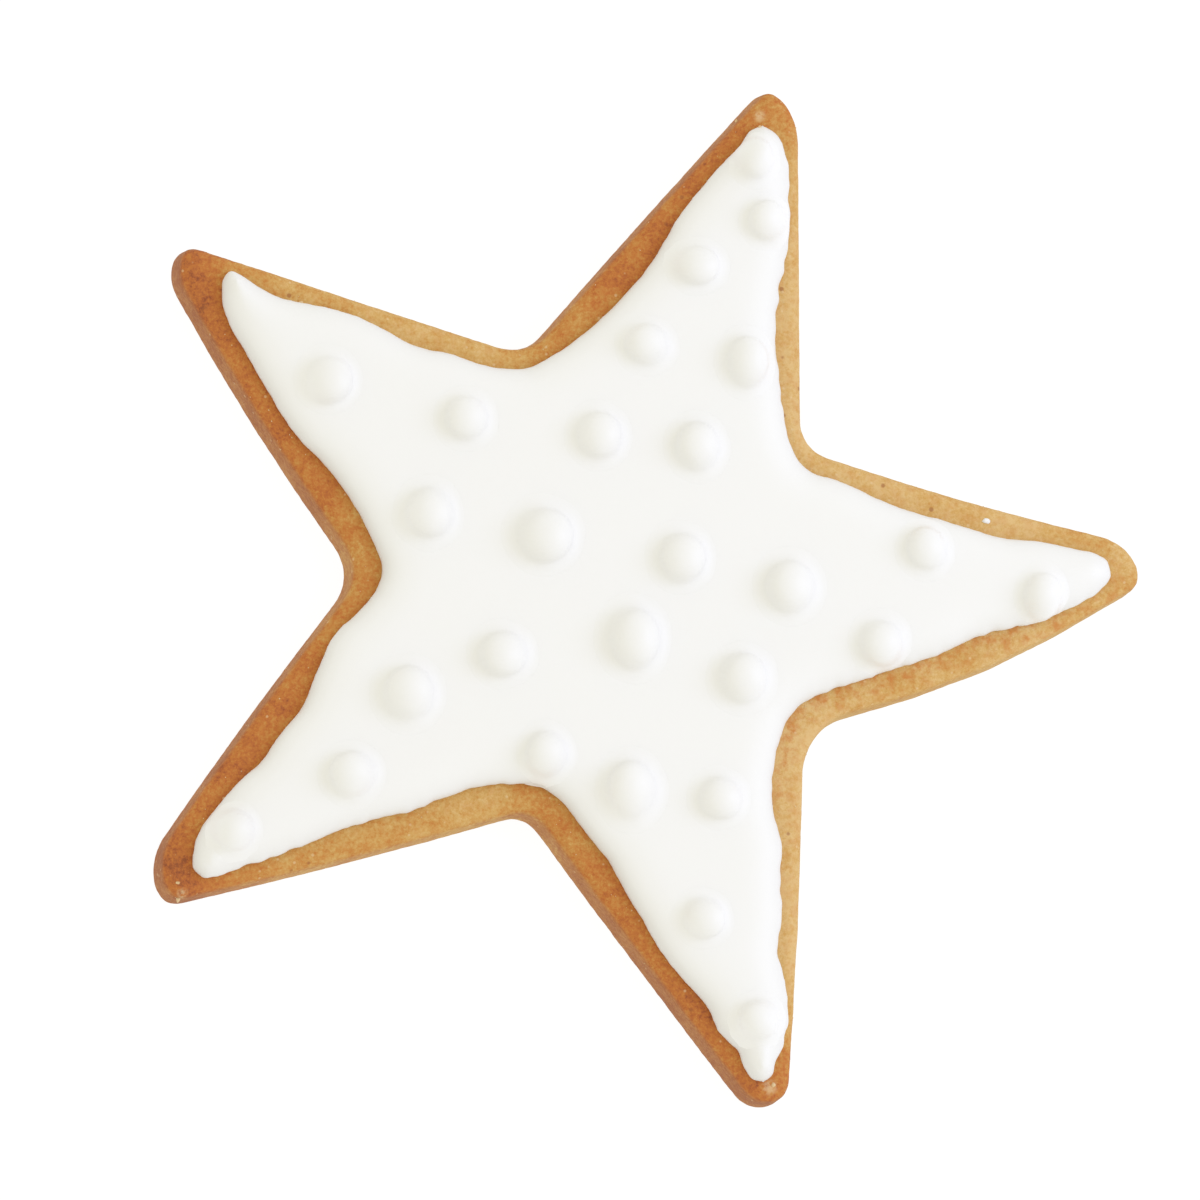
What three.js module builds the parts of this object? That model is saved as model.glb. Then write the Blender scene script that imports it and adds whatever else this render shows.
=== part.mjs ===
import * as THREE from 'three';

// An iced sugar biscuit: a five-armed star cut from rolled dough, flooded with white
// royal icing and dotted with piped beads of the same icing. Millimetres, +Z up. The
// biscuit lies on z = 0 with its icing up, and the middle of its outline is the origin.

// ---- Heights ----

const BISCUIT_TALL = 5.5;
const ICING_TALL = 2.4;
const BEAD_TALL_SHARE = 0.42; // of a bead's mean width

// ---- Edge profiles ----
// Each row is [how far in from the outline, how high], from the bottom to the top.

const BISCUIT_EDGE = [
  [0.5, 0],
  [0.1, 0.35],
  [0, 1.1],
  [0.08, 2.8],
  [0.15, 4.4],
  [0.3, 5.0],
  [0.58, 5.33],
  [1.05, BISCUIT_TALL],
];

const ICING_EDGE = [
  [0.1, 0],
  [0, 0.35],
  [0.03, 0.75],
  [0.25, 1.15],
  [0.7, 1.62],
  [1.35, 2.02],
  [2.2, 2.27],
  [3.3, ICING_TALL],
];

const ROOM_SHARE = 0.75; // an edge never runs in past this share of the room inside

// ---- The star, arm by arm, counter-clockwise, measured from its middle ----
// tip:      where the two sides of the arm would meet, how round the tip is, and how far
//           its rounding leans: the share by which it starts earlier and ends sooner
// notch:    where the inner corner that follows the arm is, and how round it is
// bow:      how far the sides before and after the tip swell outwards halfway along
// icing:    half widths of the icing before (right) and after (left) the arm's axis, at
//           every ICING_STEP from ICING_START outwards
// icingTip: how the icing ends, as [distance along the axis, distance to its left]
// icingNotch: the icing's inner corner that follows the arm

const ICING_START = 18;
const ICING_STEP = 3;

const ARMS = [
  {
    angle: 69.9,
    tip: { angle: 70, reach: 51.8, round: 2.7, lean: 0.2 },
    notch: { angle: 110.2, reach: 22, round: 4.1 },
    bow: [0, 0.1],
    icing: {
      right: [10.4, 8.8, 7.3, 6.1, 5.3, 4.9, 4.3, 3.1],
      left: [11.6, 9.7, 8.2, 7.0, 6.2, 5.7, 4.7, 3.6],
    },
    icingTip: [[40.9, -2.4], [42.5, -1.5], [43.6, -0.3], [43.9, 1.1], [43.1, 2.1], [41.5, 2.4]],
    icingNotch: { angle: 110, reach: 20.8 },
  },
  {
    angle: 143.4,
    tip: { angle: 143.3, reach: 52.8, round: 2.2, lean: -0.14 },
    notch: { angle: 178.1, reach: 22.9, round: 4.1 },
    bow: [0, 0.4],
    icing: {
      right: [10.5, 8.7, 7.7, 6.3, 5.8, 5.2, 4.0, 2.5],
      left: [11.3, 9.6, 8.3, 7.4, 7.0, 6.1, 4.8, 3.5],
    },
    icingTip: [[41.2, -2], [43.4, -1.9], [44.7, -1.5], [44, 0.3], [42.1, 2.1]],
    icingNotch: { angle: 177, reach: 21.1 },
  },
  {
    angle: 213.5,
    tip: { angle: 213.6, reach: 55.4, round: 3.1, lean: 0.14 },
    notch: { angle: 249.8, reach: 21.9, round: 2.7 },
    bow: [0.2, 0.2],
    icing: {
      right: [11.5, 10.5, 10.0, 8.2, 6.2, 5.3, 4.1, 3.7],
      left: [10.0, 8.4, 7.7, 7.0, 5.9, 5.0, 4.4, 3.8],
    },
    icingTip: [
      [41.5, -2.9], [44.1, -2], [45.7, -0.6], [46.5, 0.7], [45.7, 2.1], [43.5, 2.6],
    ],
    icingNotch: { angle: 250, reach: 19.7 },
  },
  {
    angle: 286.9,
    tip: { angle: 286.9, reach: 53.4, round: 2.4, lean: 0.03 },
    notch: { angle: 322.9, reach: 22.1, round: 6 },
    bow: [0.1, 0.2],
    icing: {
      right: [10.3, 9.2, 8.0, 7.4, 6.6, 5.9, 4.7, 3.3],
      left: [10.2, 8.5, 7.7, 7.6, 6.4, 5.7, 4.3, 4.1],
    },
    icingTip: [
      [41.4, -3.1], [43.2, -1.9], [45.2, -1.8], [46.7, -1.2], [46.6, 0.2], [44.6, 1.8], [42.3, 3.3],
    ],
    icingNotch: { angle: 322.5, reach: 19.8 },
  },
  {
    angle: 362,
    tip: { angle: 362.6, reach: 54.2, round: 2.9, lean: -0.12 },
    notch: { angle: 395.2, reach: 21.5, round: 3.2 },
    bow: [1.2, -0.3],
    icing: {
      right: [10.7, 9.8, 8.8, 8.0, 7.1, 5.7, 5.1, 4.5],
      left: [9.7, 8.7, 7.2, 5.9, 5.0, 4.0, 3.1, 2.8],
    },
    icingTip: [
      [40.5, -3.8], [42, -3.3], [43.9, -2.4], [45.4, -1], [45.5, 0.6], [44.2, 1.6], [42.3, 2],
    ],
    icingNotch: { angle: 394, reach: 20.3 },
  },
];

// ---- The piped beads ----
// Each row is [x, y, width along x, width along y], from the star's middle.

const BEADS = [
  [12.8, 38.3, 3.6, 4.0],
  [14.0, 32.6, 3.8, 3.8],
  [7.4, 28.5, 4.3, 3.7],
  [2.8, 21.2, 4.2, 3.8],
  [11.9, 19.8, 4.1, 4.8],
  [-26.2, 17.8, 4.4, 4.4],
  [-13.7, 14.4, 4.2, 4.1],
  [-1.7, 13.0, 4.4, 4.4],
  [7.3, 12.1, 4.3, 4.5],
  [-17.2, 5.9, 4.6, 4.7],
  [-6.8, 4.0, 5.3, 5.1],
  [5.7, 2.1, 4.6, 4.6],
  [15.6, -0.4, 4.8, 4.9],
  [28.1, 3.1, 4.0, 4.1],
  [38.8, -1.1, 3.9, 4.5],
  [23.9, -5.4, 4.3, 4.3],
  [-10.6, -6.7, 4.6, 4.3],
  [1.3, -5.2, 5.0, 5.7],
  [11.2, -8.8, 4.7, 4.6],
  [-19.2, -10.4, 4.9, 5.0],
  [-24.3, -17.7, 4.4, 4.3],
  [-6.7, -15.7, 4.0, 4.2],
  [1.0, -18.9, 4.7, 5.4],
  [9.0, -19.5, 4.2, 4.0],
  [-35.0, -22.7, 3.9, 3.9],
  [7.4, -30.3, 4.0, 3.8],
  [12.4, -39.4, 4.0, 3.7],
];

// A bead's outline from its base to its top, as shares of its half width and height.
const BEAD_PROFILE = [
  [0, 0],
  [0.94, 0],
  [1, 0.14],
  [0.97, 0.42],
  [0.78, 0.74],
  [0.43, 0.94],
  [0, 1],
];

// ---- How finely things are faceted ----

const CORNER_STEPS = 10;
const SIDE_STEPS = 4;
const ICING_STEPS = 230;
const BEAD_SEGMENTS = 14;

// ---- Helpers ----

function polar(reach, angle) {
  const turn = THREE.MathUtils.degToRad(angle);
  return new THREE.Vector2(reach * Math.cos(turn), reach * Math.sin(turn));
}

// A point given along an arm's axis and to the left of it.
function inArm(angle, along, left) {
  return polar(along, angle).add(polar(left, angle + 90));
}

// The arc that rounds a sharp corner between two straight sides. It is part of a circle,
// or of an ellipse where lean makes it start earlier before the corner and end sooner.
function roundCorner(before, corner, after, radius, lean) {
  const back = before.clone().sub(corner).normalize();
  const ahead = after.clone().sub(corner).normalize();
  const halfAngle = Math.acos(THREE.MathUtils.clamp(back.dot(ahead), -1, 1)) / 2;
  const tangent = radius / Math.tan(halfAngle);
  const start = corner.clone().addScaledVector(back, tangent * (1 + lean));
  const end = corner.clone().addScaledVector(ahead, tangent * (1 - lean));
  const arc = [];
  for (let step = 0; step <= CORNER_STEPS; step += 1) {
    const along = step / CORNER_STEPS;
    const startShare = (1 - along) ** 2;
    const cornerShare = 2 * along * (1 - along) * Math.sin(halfAngle);
    const endShare = along ** 2;
    const point = start.clone().multiplyScalar(startShare)
      .addScaledVector(corner, cornerShare)
      .addScaledVector(end, endShare)
      .divideScalar(startShare + cornerShare + endShare);
    arc.push(point);
  }
  return arc;
}

// Points between two ends of a side that swells outwards by bow halfway along.
function bowedSide(start, end, bow) {
  const along = end.clone().sub(start);
  const outward = new THREE.Vector2(along.y, -along.x).normalize();
  const points = [];
  for (let step = 1; step < SIDE_STEPS; step += 1) {
    const share = step / SIDE_STEPS;
    const swell = bow * Math.sin(Math.PI * share);
    points.push(start.clone().addScaledVector(along, share).addScaledVector(outward, swell));
  }
  return points;
}

function starOutline() {
  const corners = [];
  for (const { tip, notch, bow } of ARMS) {
    corners.push({ at: polar(tip.reach, tip.angle), round: tip.round, lean: tip.lean, bow: bow[1] });
    corners.push({ at: polar(notch.reach, notch.angle), round: notch.round, lean: 0, bow: 0 });
  }
  ARMS.forEach((arm, index) => {
    const notchBefore = corners[(2 * index - 1 + corners.length) % corners.length];
    notchBefore.bow = arm.bow[0];
  });
  const count = corners.length;
  const arcs = corners.map((corner, index) => roundCorner(
    corners[(index - 1 + count) % count].at,
    corner.at,
    corners[(index + 1) % count].at,
    corner.round,
    corner.lean,
  ));
  return arcs.flatMap((arc, index) => [
    ...arc,
    ...bowedSide(arc[CORNER_STEPS], arcs[(index + 1) % count][0], corners[index].bow),
  ]);
}

function icingOutline() {
  const points = [];
  for (const arm of ARMS) {
    const station = (index) => ICING_START + ICING_STEP * index;
    arm.icing.right.forEach((half, index) => points.push(inArm(arm.angle, station(index), -half)));
    arm.icingTip.forEach(([along, left]) => points.push(inArm(arm.angle, along, left)));
    const backwards = arm.icing.left.map((half, index) => inArm(arm.angle, station(index), half));
    points.push(...backwards.reverse());
    points.push(polar(arm.icingNotch.reach, arm.icingNotch.angle));
  }
  const path = points.map((point) => new THREE.Vector3(point.x, point.y, 0));
  const curve = new THREE.CatmullRomCurve3(path, true, 'centripetal');
  const spaced = curve.getSpacedPoints(ICING_STEPS).slice(0, ICING_STEPS);
  return spaced.map((point) => new THREE.Vector2(point.x, point.y));
}

// For each point of a counter-clockwise outline: the way in, and the radius of the
// largest circle that touches the outline there and fits inside it.
function wayIn(outline) {
  const count = outline.length;
  return outline.map((point, index) => {
    const ahead = outline[(index + 1) % count];
    const behind = outline[(index - 1 + count) % count];
    const tangent = ahead.clone().sub(behind).normalize();
    const inward = new THREE.Vector2(-tangent.y, tangent.x);
    let room = Infinity;
    for (const other of outline) {
      const across = other.clone().sub(point);
      const depth = across.dot(inward);
      if (depth > 1e-6) room = Math.min(room, across.lengthSq() / (2 * depth));
    }
    return { inward, room };
  });
}

// A closed solid from an outline and an edge profile, with a flat bottom and a flat top.
function solidFromOutline(outline, edge) {
  const count = outline.length;
  const ways = wayIn(outline);
  const positions = [];
  for (const [inset, height] of edge) {
    outline.forEach((point, index) => {
      const { inward, room } = ways[index];
      const moved = point.clone().addScaledVector(inward, Math.min(inset, ROOM_SHARE * room));
      positions.push(moved.x, moved.y, height);
    });
  }
  const faces = [];
  for (let ring = 0; ring < edge.length - 1; ring += 1) {
    for (let index = 0; index < count; index += 1) {
      const here = ring * count + index;
      const next = ring * count + ((index + 1) % count);
      faces.push(here, next, next + count);
      faces.push(here, next + count, here + count);
    }
  }
  const capOf = (ring) => {
    const first = ring * count;
    const flat = outline.map((_, index) => new THREE.Vector2(
      positions[3 * (first + index)],
      positions[3 * (first + index) + 1],
    ));
    return THREE.ShapeUtils.triangulateShape(flat, []).map((face) => face.map((i) => i + first));
  };
  capOf(0).forEach(([a, b, c]) => faces.push(a, c, b));
  capOf(edge.length - 1).forEach(([a, b, c]) => faces.push(a, b, c));
  const geometry = new THREE.BufferGeometry();
  geometry.setAttribute('position', new THREE.Float32BufferAttribute(positions, 3));
  geometry.setIndex(faces);
  geometry.computeVertexNormals();
  return geometry;
}

// A squat dome on a flat round base, at the origin.
function beadSolid(widthX, widthY) {
  const profile = BEAD_PROFILE.map(([out, up]) => new THREE.Vector2(out, up));
  const geometry = new THREE.LatheGeometry(profile, BEAD_SEGMENTS);
  geometry.rotateX(Math.PI / 2);
  const tall = BEAD_TALL_SHARE * Math.sqrt(widthX * widthY);
  geometry.scale(widthX / 2, widthY / 2, tall);
  return geometry;
}

function addPiece(group, name, geometry, look, [x, y, z]) {
  const piece = new THREE.Mesh(geometry, new THREE.MeshStandardMaterial(look));
  piece.name = name;
  piece.position.set(x, y, z);
  group.add(piece);
}

// ---- The cookie ----

const BAKED = { color: 0xcf9f66, roughness: 0.85, metalness: 0 };
const ICED = { color: 0xf6f6f2, roughness: 0.45, metalness: 0 };

const star = starOutline();
const box = new THREE.Box2().setFromPoints(star);
const middle = box.getCenter(new THREE.Vector2());

const cookie = new THREE.Group();
cookie.position.set(-middle.x, -middle.y, 0);

addPiece(cookie, 'biscuit', solidFromOutline(star, BISCUIT_EDGE), BAKED, [0, 0, 0]);
addPiece(cookie, 'icing', solidFromOutline(icingOutline(), ICING_EDGE), ICED, [0, 0, BISCUIT_TALL]);
BEADS.forEach(([x, y, widthX, widthY], index) => {
  const name = `bead_${String(index + 1).padStart(2, '0')}`;
  addPiece(cookie, name, beadSolid(widthX, widthY), ICED, [x, y, BISCUIT_TALL + ICING_TALL]);
});

export default cookie;
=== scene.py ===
# %% [markdown]
# # An iced star cookie
#
# This lesson finishes a star-shaped sugar cookie: a baked star of rolled dough, a flat
# layer of white royal icing, and piped dots of the same icing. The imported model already
# holds every solid at its true size and place, in metres, with z = 0 where the cookie
# lies. Blender adds what CAD can't: browned, grainy dough, a soft flowing edge to the
# icing, rounded dots, and the flour and crumbs that any real cookie carries. Every piece
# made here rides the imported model's one body, and the star, the icing and the dots stand
# in for the solids that they are made from.

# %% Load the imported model
import math
import random

import bmesh
import bpy
from mathutils import Matrix, Vector, noise
from mathutils.bvhtree import BVHTree
from mathutils.kdtree import KDTree


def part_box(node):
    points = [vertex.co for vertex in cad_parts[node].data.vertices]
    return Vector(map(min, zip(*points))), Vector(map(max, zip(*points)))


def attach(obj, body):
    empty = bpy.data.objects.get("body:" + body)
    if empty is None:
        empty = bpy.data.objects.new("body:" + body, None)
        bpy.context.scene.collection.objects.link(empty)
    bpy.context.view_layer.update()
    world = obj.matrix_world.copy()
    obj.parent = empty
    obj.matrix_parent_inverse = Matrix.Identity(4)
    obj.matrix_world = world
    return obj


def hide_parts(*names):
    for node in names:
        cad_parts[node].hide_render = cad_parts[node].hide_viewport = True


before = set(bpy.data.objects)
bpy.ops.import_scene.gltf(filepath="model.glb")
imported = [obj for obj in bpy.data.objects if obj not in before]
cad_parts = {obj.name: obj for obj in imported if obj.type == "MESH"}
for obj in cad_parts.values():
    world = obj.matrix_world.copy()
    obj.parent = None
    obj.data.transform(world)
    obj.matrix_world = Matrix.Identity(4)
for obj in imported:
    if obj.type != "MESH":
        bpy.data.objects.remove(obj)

MM = 0.001
scene = bpy.context.scene
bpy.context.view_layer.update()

# %% [markdown]
# ## The camera
#
# The cookie is seen almost from straight above, from so far away that near and far edges
# look the same size. An orthographic camera would do that too, but a long lens far off
# behaves like a real one. The camera leans a few degrees towards the star's lower left,
# which is why the side of the dough shows there and nowhere else. To lean it, an overhead
# camera is turned about a level line through the point it aims at.

# %% Stand the camera over the cookie
VIEW_LEAN = math.radians(12)
VIEW_FROM = math.radians(211)
VIEW_WIDTH = 107.95 * MM
VIEW_DISTANCE = 1500 * MM
VIEW_AIM = Vector((-3.854, 0.027, 0)) * MM
NEAREST_SEEN = 0.01

camera = bpy.data.objects.new("overhead_camera", bpy.data.cameras.new("overhead_camera"))
scene.collection.objects.link(camera)
scene.camera = camera
camera.data.sensor_width = 36
camera.data.lens = camera.data.sensor_width * VIEW_DISTANCE / VIEW_WIDTH
camera.data.clip_start = NEAREST_SEEN
lean_axis = Vector((-math.sin(VIEW_FROM), math.cos(VIEW_FROM), 0))
leaning = Matrix.Rotation(VIEW_LEAN, 4, lean_axis)
standing = VIEW_AIM + leaning @ Vector((0, 0, VIEW_DISTANCE))
camera.matrix_world = Matrix.Translation(standing) @ leaning
print("camera at, mm:", [round(x / MM) for x in camera.matrix_world.translation])

# %% [markdown]
# ## Light and floor
#
# White icing shows its shape only through faint shade, so the light has to be soft. A
# ring of lamps could do it, but one bright, warm surround fills every shadow more evenly,
# and one broad, cooler lamp on the right gives each dot a shaded left side. The lamp
# stands close enough that the right of the cookie is a touch brighter than the left. The
# Standard view keeps whites white. The floor is plain and white, and glows, as a light
# table does, so that only a faint shadow is left round the cookie. It lies a hair below
# the dough, so that the two faces never flicker.

# %% Light the scene
SURROUND = 0.992
SURROUND_COLOUR = (1.0, 0.98, 0.87)
LAMP_COLOUR = (0.55, 0.62, 1.0)
LAMP_FROM = math.radians(6)
LAMP_HEIGHT = math.radians(42)
LAMP_DISTANCE = 0.5
LAMP_SIZE = 0.4
LAMP_POWER = 0.87

scene.view_settings.view_transform = "Standard"
world = bpy.data.worlds.new("soft_surround")
world.use_nodes = True
world.node_tree.nodes["Background"].inputs["Color"].default_value = (*SURROUND_COLOUR, 1)
world.node_tree.nodes["Background"].inputs["Strength"].default_value = SURROUND
scene.world = world

lamp_way = Vector((
    math.cos(LAMP_FROM) * math.cos(LAMP_HEIGHT),
    math.sin(LAMP_FROM) * math.cos(LAMP_HEIGHT),
    math.sin(LAMP_HEIGHT),
))
lamp = bpy.data.objects.new("broad_lamp", bpy.data.lights.new("broad_lamp", "AREA"))
lamp.data.shape = "DISK"
lamp.data.size = LAMP_SIZE
lamp.data.energy = LAMP_POWER
lamp.data.color = LAMP_COLOUR
lamp.location = lamp_way * LAMP_DISTANCE
lamp.rotation_mode = "QUATERNION"
lamp.rotation_quaternion = lamp_way.to_track_quat("Z", "Y")
scene.collection.objects.link(lamp)
print("lamp at, m:", [round(x, 2) for x in lamp.location])


# %% Lay the floor
FLOOR_HALF = 1.5
FLOOR_GAP = 0.02 * MM
FLOOR_GLOW = 0.93
FLOOR_COLOUR = (0.12, 0.12, 0.12)


def new_piece(name, mesh):
    """Turns a bmesh into an object with smooth faces, its place in its mesh."""
    data = bpy.data.meshes.new(name)
    mesh.to_mesh(data)
    mesh.free()
    piece = bpy.data.objects.new(name, data)
    scene.collection.objects.link(piece)
    data.shade_smooth()
    return piece


def start_material(name):
    """A new material: itself, its node tree and its shader."""
    material = bpy.data.materials.new(name)
    material.use_nodes = True
    return material, material.node_tree, material.node_tree.nodes["Principled BSDF"]


floor_mesh = bmesh.new()
bmesh.ops.create_grid(floor_mesh, x_segments=2, y_segments=2, size=FLOOR_HALF)
bmesh.ops.translate(floor_mesh, verts=floor_mesh.verts, vec=(0, 0, -FLOOR_GAP))
floor = new_piece("floor", floor_mesh)
floor_paint, _, floor_shader = start_material("pale_floor")
floor_shader.inputs["Base Color"].default_value = (*FLOOR_COLOUR, 1)
floor_shader.inputs["Emission Color"].default_value = (1, 1, 1, 1)
floor_shader.inputs["Emission Strength"].default_value = FLOOR_GLOW
floor_shader.inputs["Roughness"].default_value = 0.9
floor_shader.inputs["Specular IOR Level"].default_value = 0.1
floor.data.materials.append(floor_paint)
print("floor:", 2 * FLOOR_HALF, "m across")

# %% [markdown]
# ## The baked star: an even mesh
#
# The star is rolled dough, pressed out with a cutter: flat, with nearly upright sides and
# a small rounded shoulder. The CAD star is a clean prism of long thin triangles, which
# can't carry dough's small lumps, and cutting those triangles up would keep them long and
# thin. A voxel remesh rebuilds a copy of it from even squares instead, all about the same
# size, and then only the faces that show, the bare rim and the sides, are cut finer.
# Under the icing nothing shows, so the faces stay coarse there and the mesh stays light.

# %% Rebuild a node's shape from even squares
DOUGH_FACE = 0.5 * MM


def finish_modifiers(piece):
    """Makes a piece's modifiers part of its mesh."""
    bpy.context.view_layer.update()
    shown = piece.evaluated_get(bpy.context.evaluated_depsgraph_get())
    piece.data = bpy.data.meshes.new_from_object(shown)
    piece.modifiers.clear()


def evenly_remeshed(node, name, face_size):
    """A new piece in a node's shape, made of even squares."""
    mesh = bmesh.new()
    mesh.from_mesh(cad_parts[node].data)
    bmesh.ops.remove_doubles(mesh, verts=mesh.verts, dist=0.001 * MM)
    piece = new_piece(name, mesh)
    remesh = piece.modifiers.new("even_squares", "REMESH")
    remesh.mode = "VOXEL"
    remesh.voxel_size = face_size
    finish_modifiers(piece)
    return piece


dough = evenly_remeshed("biscuit", "baked_star", DOUGH_FACE)
print("baked star:", len(dough.data.polygons), "even faces")


# %% Cut the bare rim and the sides finer
RIM_MARGIN = 0.8 * MM
SHOULDER_SLOPE = 0.9
DOUGH_PASSES = 3
RAY_START = 1
icing_low, icing_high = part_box("icing")
dough_low, dough_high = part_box("biscuit")


def surface_of(mesh):
    """A mesh's surface, to drop rays on."""
    return BVHTree.FromPolygons(
        [vertex.co for vertex in mesh.vertices],
        [polygon.vertices for polygon in mesh.polygons],
    )


def top_below(surface, place):
    """Where a ray dropped from far above a place first meets a surface, or None."""
    start = Vector((place.x, place.y, RAY_START))
    return surface.ray_cast(start, Vector((0, 0, -1)))[0]


icing_surface = surface_of(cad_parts["icing"].data)


def under_icing(place):
    return top_below(icing_surface, place) is not None


def shows(face):
    """True for a side face, and for a top face that the icing leaves bare or nearly so."""
    if abs(face.normal.z) < SHOULDER_SLOPE:
        return True
    if face.normal.z < 0:
        return False
    middle = face.calc_center_median()
    steps = ((-RIM_MARGIN, 0), (RIM_MARGIN, 0), (0, -RIM_MARGIN), (0, RIM_MARGIN))
    return not all(under_icing(middle + Vector((x, y, 0))) for x, y in steps)


def soften(mesh, verts, passes):
    """Evens out a mesh, a little more with each pass."""
    for _ in range(passes):
        bmesh.ops.smooth_vert(
            mesh, verts=verts, factor=0.5, use_axis_x=True, use_axis_y=True, use_axis_z=True,
        )


dough_mesh = bmesh.new()
dough_mesh.from_mesh(dough.data)
fine_edges = {edge for face in dough_mesh.faces if shows(face) for edge in face.edges}
bmesh.ops.subdivide_edges(dough_mesh, edges=list(fine_edges), cuts=1, use_grid_fill=True)
soften(dough_mesh, dough_mesh.verts, DOUGH_PASSES)
print("finer rim and sides:", len(dough_mesh.faces), "faces")

# %% [markdown]
# ## The baked star: which way each side faces
#
# An oven is hotter on one side, and this star lay with its left sides towards the heat.
# Those sides also face away from the lamp, so the browning painted on them is partly
# painted shade.
# Each point of the star therefore needs to know which way its nearest side faces. Its own
# normal can't tell, because on the flat rim that points straight up. The outline halfway
# up can: its normals are averaged over a few millimetres, so that the browning turns
# gently round the corners, and a tree of the outline's points hands each point of the
# star the facing of those nearest to it.

# %% Measure how far each side faces the heat and away from the lamp
# The heat's way, nearly opposite the lamp: browning towards it is partly painted shade.
HEAT_AND_SHADE_FROM = math.radians(185)
FACING_REACH = 2.5 * MM
NEAREST = 8
OUTLINE_BAND = 0.3 * MM
UPRIGHT_SLOPE = 0.5
heat_and_shade_way = Vector((math.cos(HEAT_AND_SHADE_FROM), math.sin(HEAT_AND_SHADE_FROM), 0))
half_way_up = (dough_low.z + dough_high.z) / 2

dough_mesh.normal_update()
outline = [
    (vertex.co.copy(), vertex.normal.dot(heat_and_shade_way))
    for vertex in dough_mesh.verts
    if abs(vertex.co.z - half_way_up) < OUTLINE_BAND and abs(vertex.normal.z) < UPRIGHT_SLOPE
]
outline_tree = KDTree(len(outline))
for index, (place, _) in enumerate(outline):
    outline_tree.insert(place, index)
outline_tree.balance()


def mean(values):
    values = list(values)
    return sum(values) / len(values)


soft_facing = [
    mean(outline[near][1] for _, near, _ in outline_tree.find_range(place, FACING_REACH))
    for place, _ in outline
]
star_middle = Vector((mean(p.x for p, _ in outline), mean(p.y for p, _ in outline), 0))


def facing_heat_and_shade(place):
    """From -1, turned away from the heat, towards the lamp, to 1, towards the heat, away from
    the lamp.
    """
    level = Vector((place.x, place.y, half_way_up))
    return mean(soft_facing[index] for _, index, _ in outline_tree.find_n(level, NEAREST))


print("outline points:", len(outline), "middle, mm:", [round(x / MM, 2) for x in star_middle])

# %% [markdown]
# ## The baked star: browning and painted shade
#
# A painted picture could brown the star, but it would need a flat map of it. Browning is
# painted on the mesh instead, as one number at each point, from pale to dark, so the
# colour follows the shape. It rises on the sides that face the heat, on the thin tips,
# which bake through first, and underneath, where the dough lay on the hot tray. The sides
# that face the heat are also the ones turned away from the lamp, so their extra darkness is
# partly real browning and partly painted shade. A second number marks the upright sides,
# which are a duller, pinker brown than the top. A third marks the ruddy band beside the
# icing, where butter from the dough rose and browned, and a fourth marks a few spots on the
# tips where flour was left from the rolling.

# %% How brown each point is, with painted shade on the sides away from the lamp
TIP_START = 37 * MM
TIP_END = 50 * MM
ROOT_START = 23 * MM
ROOT_END = 31 * MM
PALEST_SIDE = 0.12
DARKEST_TIP = 0.81
TRAY_BAKE = 0.50
PATCH_STRENGTH = 0.07
PATCH_SIZE = 6 * MM


def ramp(low, high, value):
    """0 below low, 1 above high, and a smooth rise between."""
    share = min(max((value - low) / (high - low), 0), 1)
    return share * share * (3 - 2 * share)


def from_star_middle(place):
    return Vector((place.x, place.y, 0)) - star_middle


def browning_and_shade_at(place, normal):
    towards_heat_and_shade = ramp(-0.65, 0.6, facing_heat_and_shade(place))
    out = from_star_middle(place)
    root = 1 - ramp(ROOT_START, ROOT_END, out.length)
    tip = ramp(TIP_START, TIP_END, out.length)
    near_heat_and_shade = out.dot(heat_and_shade_way) / TIP_END
    patches = PATCH_STRENGTH * noise.noise(place / PATCH_SIZE)
    # Partly painted shade: the sides and tips towards the heat are turned away from the lamp.
    heated_and_shaded = towards_heat_and_shade * (0.60 - 0.18 * root) + 0.14 * near_heat_and_shade * (1 - towards_heat_and_shade)
    side = PALEST_SIDE + heated_and_shaded
    tip_bake = min(0.25 + 0.60 * (1 + near_heat_and_shade), DARKEST_TIP)
    top = side + (tip_bake - side) * tip + patches
    under = TRAY_BAKE + 0.18 * tip + 2 * patches
    return top + (under - top) * ramp(0.3, 0.9, -normal.z)


print("browning of a level point at the middle:",
      round(browning_and_shade_at(star_middle, Vector((0, 0, 1))), 3))

# %% The ruddy band and the floury spots
RUDDY_FROM = math.radians(-25)
RUDDY_BAND = 2.3 * MM
ruddy_way = Vector((math.cos(RUDDY_FROM), math.sin(RUDDY_FROM), 0))
# Each spot's turn in degrees, its distance from the middle and its reach in millimetres.
FLOURY_SPOTS = [(288.1, 47.3, 0.9), (71.0, 45.2, 0.7), (216.0, 47.4, 0.6)]


def polar(turn, far):
    """A level way off the star's middle, from degrees and millimetres."""
    return Vector((math.cos(math.radians(turn)), math.sin(math.radians(turn)), 0)) * far * MM


def ruddy_at(place):
    """1 beside the icing's edge in the ruddy quarter of the star, 0 elsewhere."""
    nearest, _, _, _ = icing_surface.find_nearest(place)
    away = Vector((place.x - nearest.x, place.y - nearest.y, 0)).length
    quarter = ramp(0.85, 0.97, from_star_middle(place).normalized().dot(ruddy_way))
    return quarter * (1 - ramp(0.4 * RUDDY_BAND, RUDDY_BAND, away))


def floury_at(place):
    """1 in the middle of a floury spot, 0 beyond its edge."""
    return max(
        1 - ramp(0.3, 1, (from_star_middle(place) - polar(turn, far)).length / (reach * MM))
        for turn, far, reach in FLOURY_SPOTS
    )


print("floury spots:", len(FLOURY_SPOTS))

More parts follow.
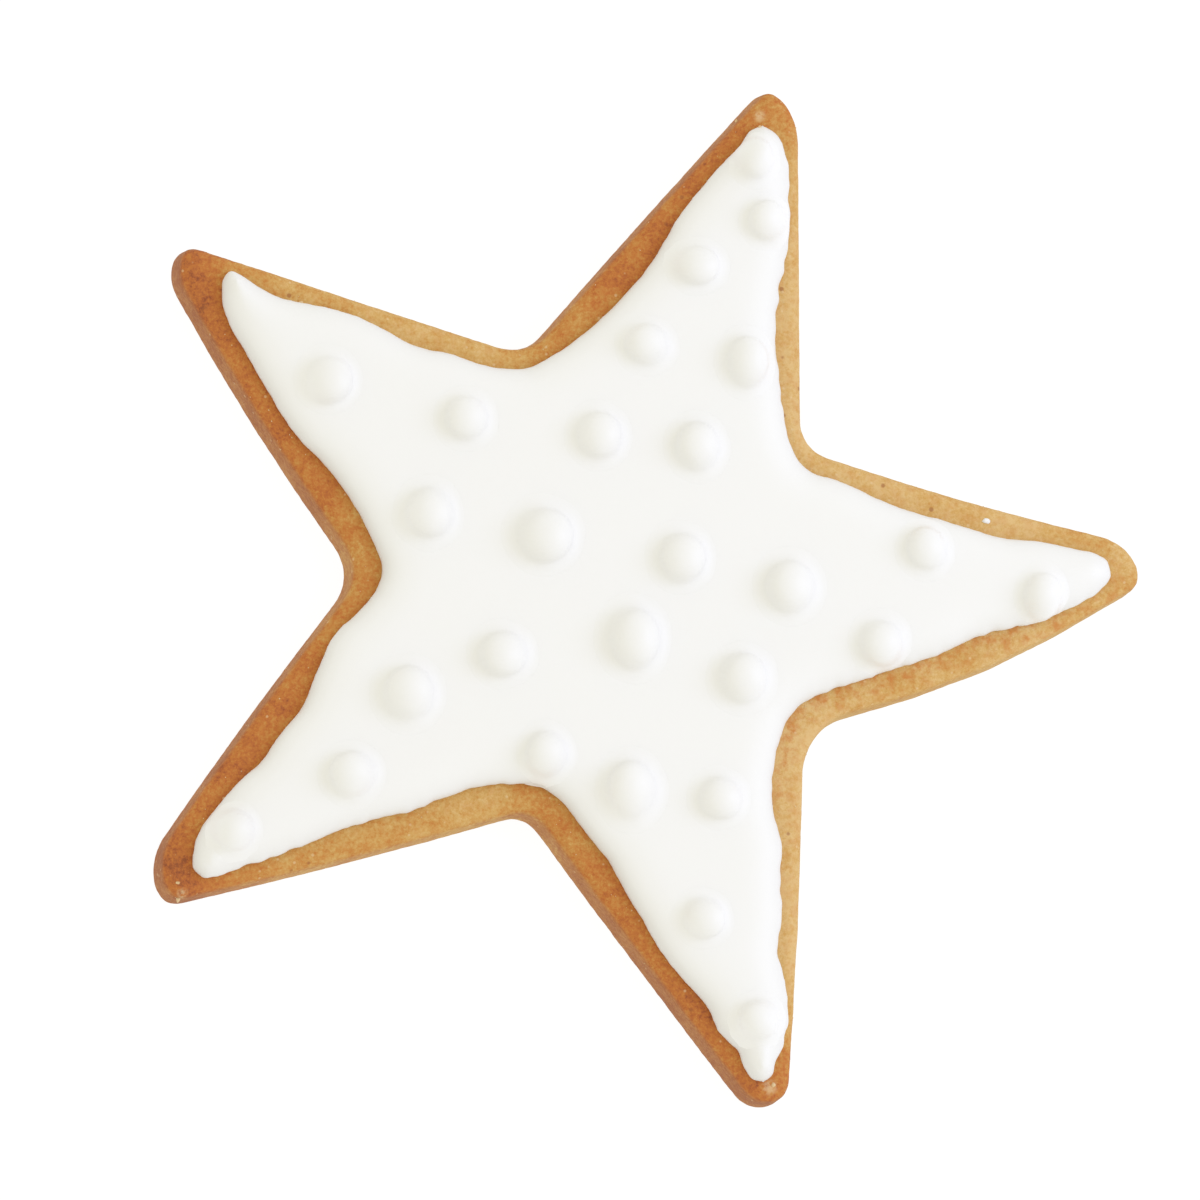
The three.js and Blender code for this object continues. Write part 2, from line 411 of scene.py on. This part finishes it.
# %% Paint the four numbers
browning_and_shade_layer = dough_mesh.verts.layers.float.new("browning_and_shade")
floury_layer = dough_mesh.verts.layers.float.new("floury")
ruddy_layer = dough_mesh.verts.layers.float.new("ruddy")
side_layer = dough_mesh.verts.layers.float.new("upright_side")
for vertex in dough_mesh.verts:
    vertex[browning_and_shade_layer] = browning_and_shade_at(vertex.co, vertex.normal)
    vertex[side_layer] = 1 - ramp(0.1, 0.6, abs(vertex.normal.z))
    vertex[ruddy_layer] = ruddy_at(vertex.co)
    vertex[floury_layer] = floury_at(vertex.co)
print("painted on", len(dough_mesh.verts), "points")

# %% [markdown]
# ## The baked star: relief
#
# Baked dough is never smooth: its edge swells a little here and there, its surface is
# lumpy, and sugar and flour leave it sandy. A bump map alone would leave the outline as
# straight as the cutter's, so the mesh itself is roughened: each point moves along its
# normal by noise of several sizes. The cutter left the sides smoother than the top, so
# they move less. The underside only ever moves inwards, so the cookie still lies flat.

# %% Roughen the dough
# Each is how deep the noise is and how far apart its lumps lie.
SWELL = (0.06 * MM, 9 * MM)
LUMPS = (0.035 * MM, 1.7 * MM)
GRAIN = (0.05 * MM, 0.55 * MM)
SIDE_CALM = 0.5
UNDERSIDE = -0.7


def relief_at(place):
    """How far the dough stands out, in metres."""
    return sum(depth * noise.noise(place / size) for depth, size in (SWELL, LUMPS, GRAIN))


for vertex in dough_mesh.verts:
    out = relief_at(vertex.co) * (1 - SIDE_CALM * vertex[side_layer])
    if vertex.normal.z < UNDERSIDE:
        out = -abs(out)
    vertex.co += vertex.normal * out
    vertex.co.z = max(vertex.co.z, 0)
dough_mesh.to_mesh(dough.data)
dough_mesh.free()
dough.data.shade_smooth()
print("baked star finished:", len(dough.data.polygons), "faces")

# %% [markdown]
# ## The baked star: its finish
#
# The browning number runs through a colour ramp, from pale gold over tan and amber to red
# brown; on the sides turned away from the lamp that number is partly painted shade. Mixing
# two colours would miss the amber between them, and a ramp doesn't. Before that, mottling a
# few millimetres across and a fine grain are added to the number, so the colour varies as
# dough does, and ruddy patches show where butter browned. Sparse darker dots are sugar that
# caught the heat, and sparse pale ones are flour. Every pattern reads Object coordinates, so
# it stays put on the cookie, and its size is given in metres.

# %% Number patterns
def link(tree, output, target):
    """Links an output to an input, or sets the input where output is a plain value."""
    if isinstance(output, bpy.types.NodeSocket):
        tree.links.new(output, target)
    else:
        target.default_value = output


def object_place(tree):
    return tree.nodes.new("ShaderNodeTexCoord").outputs["Object"]


def lumps(tree, size, detail=2.0, roughness=0.5):
    """Noise with lumps about size metres across."""
    texture = tree.nodes.new("ShaderNodeTexNoise")
    texture.inputs["Scale"].default_value = 1 / size
    texture.inputs["Detail"].default_value = detail
    texture.inputs["Roughness"].default_value = roughness
    link(tree, object_place(tree), texture.inputs["Vector"])
    return texture.outputs["Fac"]


def sums(tree, operation, first, second, third=0.0):
    """One Math node."""
    node = tree.nodes.new("ShaderNodeMath")
    node.operation = operation
    for value, target in zip((first, second, third), node.inputs):
        link(tree, value, target)
    return node.outputs["Value"]


def between(tree, low, high, value):
    """0 below low, 1 above high, smooth between."""
    node = tree.nodes.new("ShaderNodeMapRange")
    node.interpolation_type = "SMOOTHSTEP"
    node.inputs["From Min"].default_value = low
    node.inputs["From Max"].default_value = high
    link(tree, value, node.inputs["Value"])
    return node.outputs["Result"]


def painted(tree, name):
    """A number painted on the mesh."""
    node = tree.nodes.new("ShaderNodeAttribute")
    node.attribute_name = name
    return node.outputs["Fac"]


# %% Colours from numbers
def colours(tree, stops, value):
    """A colour ramp from a list of (where, colour)."""
    node = tree.nodes.new("ShaderNodeValToRGB")
    stretch = node.color_ramp
    while len(stretch.elements) < len(stops):
        stretch.elements.new(0.5)
    for element, (where, colour) in zip(stretch.elements, stops):
        element.position = where
        element.color = (*colour, 1)
    link(tree, value, node.inputs["Fac"])
    return node.outputs["Color"]


def mixed(tree, share, first, second):
    """Two colours mixed."""
    node = tree.nodes.new("ShaderNodeMix")
    node.data_type = "RGBA"
    link(tree, share, node.inputs[0])
    link(tree, first if hasattr(first, "links") else (*first, 1), node.inputs[6])
    link(tree, second if hasattr(second, "links") else (*second, 1), node.inputs[7])
    return node.outputs[2]


# %% Specks and bump
def sparse_dots(tree, spacing, dot, kept):
    """Round dots, one to a cell at most, in only a share of the cells."""
    texture = tree.nodes.new("ShaderNodeTexVoronoi")
    texture.inputs["Scale"].default_value = 1 / spacing
    link(tree, object_place(tree), texture.inputs["Vector"])
    split = tree.nodes.new("ShaderNodeSeparateColor")
    link(tree, texture.outputs["Color"], split.inputs["Color"])
    chosen = sums(tree, "LESS_THAN", split.outputs["Red"], kept)
    radius = dot / 2 / spacing
    inside = between(tree, radius, radius * 0.5, texture.outputs["Distance"])
    return sums(tree, "MULTIPLY", chosen, inside)


def relief(tree, shader, height, depth, strength=1.0):
    """Fine bump, with its depth in metres."""
    node = tree.nodes.new("ShaderNodeBump")
    node.inputs["Strength"].default_value = strength
    node.inputs["Distance"].default_value = depth
    link(tree, height, node.inputs["Height"])
    link(tree, node.outputs["Normal"], shader.inputs["Normal"])


# %% The colours of baked dough
TOP_COLOURS = [
    (0.00, (0.68, 0.46, 0.20)),
    (0.14, (0.64, 0.405, 0.150)),
    (0.28, (0.60, 0.36, 0.112)),
    (0.50, (0.54, 0.250, 0.060)),
    (0.72, (0.49, 0.160, 0.033)),
    (0.90, (0.40, 0.115, 0.032)),
    (1.00, (0.27, 0.078, 0.028)),
]
SIDE_COLOURS = [
    (0.0, (0.60, 0.39, 0.145)),
    (0.3, (0.56, 0.33, 0.110)),
    (0.5, (0.47, 0.218, 0.074)),
    (0.7, (0.41, 0.170, 0.058)),
    (0.9, (0.34, 0.120, 0.042)),
]
SCORCHED = (0.30, 0.09, 0.030)
RUDDY = (0.55, 0.205, 0.045)
FLOURY = (0.74, 0.55, 0.31)
print("top and side colours:", len(TOP_COLOURS), "and", len(SIDE_COLOURS))

# %% Mix the dough's finish
MOTTLE_SHARE = 0.60
SAND_SHARE = 1.3
RUDDY_EVERYWHERE = 0.28
RUDDY_IN_BAND = 0.64
DARK_SHARE = 0.60
PALE_SHARE = 0.50
DUST_SHARE = 0.60
SANDY_DEPTH = 0.07 * MM

dough_finish, tree, shader = start_material("baked_dough")
mottle = sums(tree, "SUBTRACT", lumps(tree, 2.4 * MM, 3), 0.5)
sand = sums(tree, "SUBTRACT", lumps(tree, 0.42 * MM, 4, 0.8), 0.5)
# The browning number is partly painted shade on the sides turned away from the lamp.
varied = sums(tree, "MULTIPLY_ADD", mottle, MOTTLE_SHARE, painted(tree, "browning_and_shade"))
varied = sums(tree, "MULTIPLY_ADD", sand, SAND_SHARE, varied)
top_colour = colours(tree, TOP_COLOURS, varied)
blush = between(tree, 0.40, 0.70, lumps(tree, 1.1 * MM, 4, 0.6))
in_band = painted(tree, "ruddy")
blush_share = sums(tree, "MULTIPLY_ADD", in_band, RUDDY_IN_BAND, RUDDY_EVERYWHERE)
top_colour = mixed(tree, sums(tree, "MULTIPLY", blush, blush_share), top_colour, RUDDY)
side_colour = colours(tree, SIDE_COLOURS, varied)
colour = mixed(tree, painted(tree, "upright_side"), top_colour, side_colour)
dark_dots = sparse_dots(tree, 1.5 * MM, 0.55 * MM, 0.12)
pale_dots = sparse_dots(tree, 0.8 * MM, 0.34 * MM, 0.16)
colour = mixed(tree, sums(tree, "MULTIPLY", dark_dots, DARK_SHARE), colour, SCORCHED)
colour = mixed(tree, sums(tree, "MULTIPLY", pale_dots, PALE_SHARE), colour, FLOURY)
broken = between(tree, 0.3, 0.6, lumps(tree, 0.4 * MM))
dusted = sums(tree, "MULTIPLY", painted(tree, "floury"), broken)
colour = mixed(tree, sums(tree, "MULTIPLY", dusted, DUST_SHARE), colour, FLOURY)
link(tree, colour, shader.inputs["Base Color"])
link(tree, sums(tree, "MULTIPLY_ADD", sand, 0.25, 0.8), shader.inputs["Roughness"])
shader.inputs["Specular IOR Level"].default_value = 0.3
relief(tree, shader, lumps(tree, 0.3 * MM, 3, 0.7), SANDY_DEPTH)
print("dough finish:", len(tree.nodes), "nodes")

# %% Put the finished star in its node's place
dough.data.materials.clear()
dough.data.materials.append(dough_finish)
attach(dough, "root")
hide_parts("biscuit")
print("baked star stands in for biscuit")

# %% [markdown]
# ## The icing: a poured layer
#
# Royal icing is poured inside an outline and settles level, a little over two millimetres
# deep, with a rounded edge. The CAD layer has that edge, and a remesh gives it even faces,
# whose upper part is smoothed longest so that no ridge is left in the narrow tips. Its
# edge isn't drawn by a machine, so short scallops are pushed in and out along it,
# strongest on the sides where the real outline is most broken, and a few nicks are pressed
# in where it stopped short. Where the icing comes near the dough's rounded shoulder it
# sags over it, and its foot sinks in so that no gap shows. Where it thins out towards its
# edge the dough begins to show through, so a number marks how thin it is. On the sides
# turned away from the lamp that number is doubled, as painted shade.

# %% Remesh and soften the icing
ICING_FACE = 0.28 * MM
ROUNDED_ABOVE = 1.6 * MM
ICING_PASSES = 5
UPPER_PASSES = 25
icing = evenly_remeshed("icing", "poured_icing", ICING_FACE)
icing_mesh = bmesh.new()
icing_mesh.from_mesh(icing.data)
soften(icing_mesh, icing_mesh.verts, ICING_PASSES)
upper_part = [v for v in icing_mesh.verts if v.co.z - icing_low.z > ROUNDED_ABOVE]
soften(icing_mesh, upper_part, UPPER_PASSES)
icing_mesh.normal_update()
print("icing:", len(icing_mesh.faces), "faces")

# %% Scallops and nicks in its edge
SCALLOP_FROM = math.radians(-50)
SCALLOP_LONG = 1.3 * MM
SCALLOP_CALM = 0.06 * MM
SCALLOP_BROKEN = 0.22 * MM
# Each nick's turn in degrees, its distance from the middle and its depth in millimetres.
NICKS = [(69, 42.3, 0.40), (356, 27.6, 0.25), (352, 36.6, 0.30), (283, 40.8, 0.25)]
NICK_REACH = 0.9 * MM
scallop_way = Vector((math.cos(SCALLOP_FROM), math.sin(SCALLOP_FROM), 0))
nicks = [(star_middle + polar(turn, far), depth * MM) for turn, far, depth in NICKS]


def scallop_at(place, outward):
    """How far the icing's edge is pushed out at a place."""
    broken = ramp(0.1, 0.8, outward.dot(scallop_way))
    depth = SCALLOP_CALM + (SCALLOP_BROKEN - SCALLOP_CALM) * broken
    level = Vector((place.x, place.y, 0))
    nicked = sum(
        deep * (1 - ramp(0, 1, (level - spot).length / NICK_REACH)) for spot, deep in nicks
    )
    return depth * noise.noise(level / SCALLOP_LONG) - nicked


print("nicks:", len(nicks))

# %% Let it settle on the dough, and mark where it is thin, with painted shade away from the lamp
FOOT_SINK = 0.2 * MM
FOOT_HEIGHT = 0.5 * MM
DEEPEST_SAG = 0.6 * MM
SETTLE_DEPTH = 0.035 * MM
SETTLE_SIZE = 11 * MM
dough_surface = surface_of(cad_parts["biscuit"].data)


def sag_at(place):
    """How far the dough's top has fallen away under a place."""
    hit = top_below(dough_surface, place)
    return dough_high.z - hit.z if hit else DEEPEST_SAG


THIN_BELOW = 0.9 * MM
FULL_ABOVE = 2.2 * MM
# The way the painted shade on the icing's edge faces, away from the lamp.
PAINTED_SHADE_FROM = math.radians(205)
THIN_LIGHT_SIDE = 0.5
painted_shade_way = Vector((math.cos(PAINTED_SHADE_FROM), math.sin(PAINTED_SHADE_FROM), 0))
thin_and_shade_layer = icing_mesh.verts.layers.float.new("thin_icing_and_shade")
for vertex in icing_mesh.verts:
    outward = Vector((vertex.normal.x, vertex.normal.y, 0))
    above = vertex.co.z - icing_low.z
    # Painted shade: the edge is darkened twice as much on the sides turned away from the
    # lamp.
    shaded_side = ramp(0.1, 0.9, outward.dot(painted_shade_way))
    thin_and_shaded = THIN_LIGHT_SIDE + (1 - THIN_LIGHT_SIDE) * shaded_side
    vertex[thin_and_shade_layer] = thin_and_shaded * (1 - ramp(THIN_BELOW, FULL_ABOVE, above))
    vertex.co += outward * scallop_at(vertex.co, outward)
    settle = SETTLE_DEPTH * noise.noise(vertex.co / SETTLE_SIZE)
    foot = FOOT_SINK * (1 - ramp(0, FOOT_HEIGHT, above))
    vertex.co.z += settle - sag_at(vertex.co) - foot
icing_mesh.to_mesh(icing.data)
icing_mesh.free()
icing.data.shade_smooth()
print("icing from", round(icing_low.z / MM, 2), "to", round(icing_high.z / MM, 2), "mm")

# %% [markdown]
# ## The icing's finish
#
# Dry royal icing is an almost pure, very slightly warm white with a satin skin, a shade
# greyer where it is thin. At its edges turned away from the lamp it is greyer still, and
# that is painted shade. Light does sink into it a little, but under so soft a light that
# hardly shows, so a plain surface colour is enough. The skin has faint ripples where it
# flowed, and a few pinholes where bubbles burst.

# %% Royal icing
ICING_WHITE = (0.845, 0.843, 0.840)
ICING_SHADE = (0.80, 0.796, 0.780)
ICING_THIN_AND_SHADED = (0.722, 0.712, 0.698)
PINHOLE = (0.55, 0.52, 0.42)
SKIN_DEPTH = 0.012 * MM

icing_finish, tree, shader = start_material("royal_icing")
flow = lumps(tree, 7 * MM, 2)
pinholes = sparse_dots(tree, 6 * MM, 0.35 * MM, 0.12)
colour = mixed(tree, sums(tree, "MULTIPLY", flow, 0.12), ICING_WHITE, ICING_SHADE)
# Grey where thin icing shows the dough, and more as painted shade away from the lamp.
colour = mixed(tree, painted(tree, "thin_icing_and_shade"), colour, ICING_THIN_AND_SHADED)
colour = mixed(tree, sums(tree, "MULTIPLY", pinholes, 0.5), colour, PINHOLE)
link(tree, colour, shader.inputs["Base Color"])
link(tree, sums(tree, "MULTIPLY_ADD", flow, 0.12, 0.42), shader.inputs["Roughness"])
shader.inputs["Specular IOR Level"].default_value = 0.35
skin = sums(tree, "SUBTRACT", lumps(tree, 1.1 * MM, 2), pinholes)
relief(tree, shader, skin, SKIN_DEPTH)
icing.data.materials.clear()
icing.data.materials.append(icing_finish)
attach(icing, "root")
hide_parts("icing")
print("icing finish:", len(tree.nodes), "nodes")

# %% [markdown]
# ## The piped dots
#
# Each dot is a squeeze of stiffer icing: a low dome that melted into the wet layer under
# it. A squashed ball would meet the layer in a sharp crease, so one profile is spun round
# instead: a round crown, a steep side, and a foot that flares out until it meets the
# layer almost level. The dome is then scaled to the dot's own box, which its crown tops a
# little and its foot spreads past. No two dots are alike, so each crown leans its own way
# and gentle noise makes each one uneven. A dot near the icing's edge sags with the layer
# that it sits on, so each point of a dome sinks as far as the layer below it has fallen
# away.

# %% Spin one dome
# How far out each point lies, as a share of the dot's half width, and how far up, as a
# share of its height.
DOME_PROFILE = [
    (0.0, 1.142), (0.17, 1.129), (0.34, 1.083), (0.50, 1.006), (0.64, 0.898), (0.76, 0.762),
    (0.85, 0.600), (0.905, 0.455), (0.955, 0.31), (1.01, 0.205), (1.07, 0.138),
    (1.14, 0.090), (1.22, 0.052), (1.31, 0.025), (1.40, 0.009), (1.50, -0.001),
    (1.58, -0.010), (1.63, -0.035),
]
DOME_STEPS = 32
WELD = 1e-5


def spun_dome():
    """A dome one across and about one high, from its crown to its flared foot."""
    mesh = bmesh.new()
    points = [mesh.verts.new((out / 2, 0, up)) for out, up in DOME_PROFILE]
    for first, second in zip(points, points[1:]):
        mesh.edges.new((first, second))
    bmesh.ops.spin(
        mesh, geom=mesh.verts[:] + mesh.edges[:], cent=(0, 0, 0), axis=(0, 0, 1),
        angle=math.tau, steps=DOME_STEPS, use_merge=True,
    )
    bmesh.ops.remove_doubles(mesh, verts=mesh.verts, dist=WELD)
    foot = [edge for edge in mesh.edges if edge.is_boundary]
    bmesh.ops.contextual_create(mesh, geom=foot)
    bmesh.ops.recalc_face_normals(mesh, faces=mesh.faces)
    return mesh


print("profile points:", len(DOME_PROFILE))

# %% Keep a dot on the icing
DEEPEST_DROP = 2.2 * MM
PULL_STEP = 0.025
PULL_STEPS = 21
icing_top = surface_of(icing.data)


def drop_at(place):
    """How far the icing's top has fallen away from its highest level at a place."""
    hit = top_below(icing_top, place)
    return min(icing_high.z - hit.z, DEEPEST_DROP) if hit else DEEPEST_DROP


def kept_on_icing(place, middle):
    """The place itself, or the nearest one towards the dot's middle with icing below."""
    for step in range(PULL_STEPS):
        nearer = middle + (place - middle) * (1 - PULL_STEP * step)
        if under_icing(nearer):
            return nearer
    return nearer


print("a dot's foot may be pulled in by up to", PULL_STEP * (PULL_STEPS - 1), "of its reach")

# %% Shape each dot in its own box
CROWN_LEAN = 0.07
UNEVEN = 0.05
UNEVEN_SCALE = 2.2
CROWN_HOLDS = 0.4


def piped_dot(node, name, chance):
    low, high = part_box(node)
    size = high - low
    mesh = spun_dome()
    lean = Vector((chance.uniform(-1, 1), chance.uniform(-1, 1), 0)) * CROWN_LEAN
    own = Vector((chance.uniform(0, 99), chance.uniform(0, 99), 0))
    for vertex in mesh.verts:
        up = max(vertex.co.z, 0)
        bulge = 1 + UNEVEN * noise.noise(vertex.co * UNEVEN_SCALE + own)
        vertex.co = Vector((vertex.co.x * bulge, vertex.co.y * bulge, vertex.co.z))
        vertex.co += lean * up
    bmesh.ops.scale(mesh, verts=mesh.verts, vec=size)
    foot = Vector(((low.x + high.x) / 2, (low.y + high.y) / 2, low.z))
    bmesh.ops.translate(mesh, verts=mesh.verts, vec=foot)
    for vertex in mesh.verts:
        level = Vector((foot.x, foot.y, vertex.co.z))
        vertex.co = kept_on_icing(vertex.co, level)
        share_up = (vertex.co.z - low.z) / size.z
        vertex.co.z -= drop_at(vertex.co) * (1 - CROWN_HOLDS * max(share_up, 0))
    dot = new_piece(name, mesh)
    rounding = dot.modifiers.new("rounding", "SUBSURF")
    rounding.levels = 1
    rounding.render_levels = 1
    dot.data.materials.append(icing_finish)
    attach(dot, "root")
    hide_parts(node)
    return dot


chance = random.Random(27)
bead_nodes = sorted(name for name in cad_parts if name.startswith("bead_"))
dots = [piped_dot(node, node.replace("bead", "piped_dot"), chance) for node in bead_nodes]
print("piped dots:", len(dots))

# %% [markdown]
# ## Flour
#
# A few grains of flour and sugar always cling to the rim. A particle system could scatter
# them, but this few are as easily placed one by one: each is a tiny squashed ball, at a
# point picked from the rim's own points, and all of them are one joined mesh.

# %% Scatter flour on the rim
FLOUR_GRAINS = 110
FLOUR_SIZE = (0.06 * MM, 0.16 * MM)
FLOUR_COLOURS = [(0.3, (0.62, 0.42, 0.20)), (0.7, (0.72, 0.55, 0.33))]
RIM_SLOPE = 0.1


def bare_points():
    """Points of the finished dough that face up or out and that no icing covers."""
    return [
        vertex.co.copy()
        for vertex in dough.data.vertices
        if vertex.normal.z > RIM_SLOPE and not under_icing(vertex.co)
    ]


def add_grain(mesh, place, size, chance):
    """One little squashed ball."""
    turn = Matrix.Rotation(chance.uniform(0, math.tau), 4, "Z")
    stretch = Matrix.Diagonal((size, size * chance.uniform(0.6, 1), size * 0.6, 1))
    bmesh.ops.create_icosphere(
        mesh, subdivisions=1, radius=0.5,
        matrix=Matrix.Translation(place) @ turn @ stretch,
    )


flour_mesh = bmesh.new()
rim_points = bare_points()
for _ in range(FLOUR_GRAINS):
    place = chance.choice(rim_points)
    add_grain(flour_mesh, place, chance.uniform(*FLOUR_SIZE), chance)
flour = new_piece("flour_grains", flour_mesh)
flour_finish, tree, shader = start_material("flour")
flour_colour = colours(tree, FLOUR_COLOURS, lumps(tree, 0.8 * MM))
link(tree, flour_colour, shader.inputs["Base Color"])
shader.inputs["Roughness"].default_value = 0.9
flour.data.materials.append(flour_finish)
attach(flour, "root")
print("flour grains:", FLOUR_GRAINS)

# %% [markdown]
# ## Crumbs
#
# A few larger crumbs lie where they fell: a speck of dried icing on the right arm, and
# pale flecks of dough on the tips. These few have places of their own, so they are listed
# rather than scattered. Each is a rough little ball, given by its turn in degrees and its
# distance from the star's middle, its length and its width in millimetres, and dropped on
# whatever lies below it. Icing crumbs and dough crumbs are one piece each.

# %% Drop the crumbs
ICING_CRUMBS = [(10.1, 35.7, 0.70, 0.55)]
DOUGH_CRUMBS = [
    (216.2, 47.8, 0.80, 0.35), (214.8, 47.2, 0.50, 0.30), (73.1, 44.8, 0.45, 0.35),
    (70.7, 44.1, 0.40, 0.30), (137.4, 37.2, 0.40, 0.35), (288.6, 47.2, 0.50, 0.35),
]
CRUMB_STEP = 0.5
CRUMB_ROUGH = 0.6
CRUMB_GRAIN = 0.25 * MM
dough_top = surface_of(dough.data)


def resting_place(turn, far):
    """Where a crumb comes to lie; one that would miss the cookie is brought closer in."""
    hits = []
    while not hits:
        spot = star_middle + polar(turn, far)
        below = [top_below(top, spot) for top in (dough_top, icing_top)]
        hits = [hit for hit in below if hit]
        far -= CRUMB_STEP
    return max(hits, key=lambda hit: hit.z)


def drop_crumbs(name, crumbs, finish, chance):
    """One piece of rough little balls, each dropped on what lies below it."""
    mesh = bmesh.new()
    for turn, far, length, width in crumbs:
        place = resting_place(turn, far)
        turned = Matrix.Rotation(chance.uniform(0, math.tau), 4, "Z")
        stretch = Matrix.Diagonal((length * MM, width * MM, 0.6 * width * MM, 1))
        made = bmesh.ops.create_icosphere(
            mesh, subdivisions=2, radius=0.5,
            matrix=Matrix.Translation(place) @ turned @ stretch,
        )
        for vertex in made["verts"]:
            rough = CRUMB_ROUGH * noise.noise(vertex.co / CRUMB_GRAIN)
            vertex.co += (vertex.co - place) * rough
    piece = new_piece(name, mesh)
    piece.data.materials.append(finish)
    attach(piece, "root")
    return piece


icing_crumbs = drop_crumbs("icing_crumbs", ICING_CRUMBS, icing_finish, chance)
dough_crumbs = drop_crumbs("dough_crumbs", DOUGH_CRUMBS, flour_finish, chance)
print("crumbs:", len(ICING_CRUMBS), "of icing,", len(DOUGH_CRUMBS), "of dough")
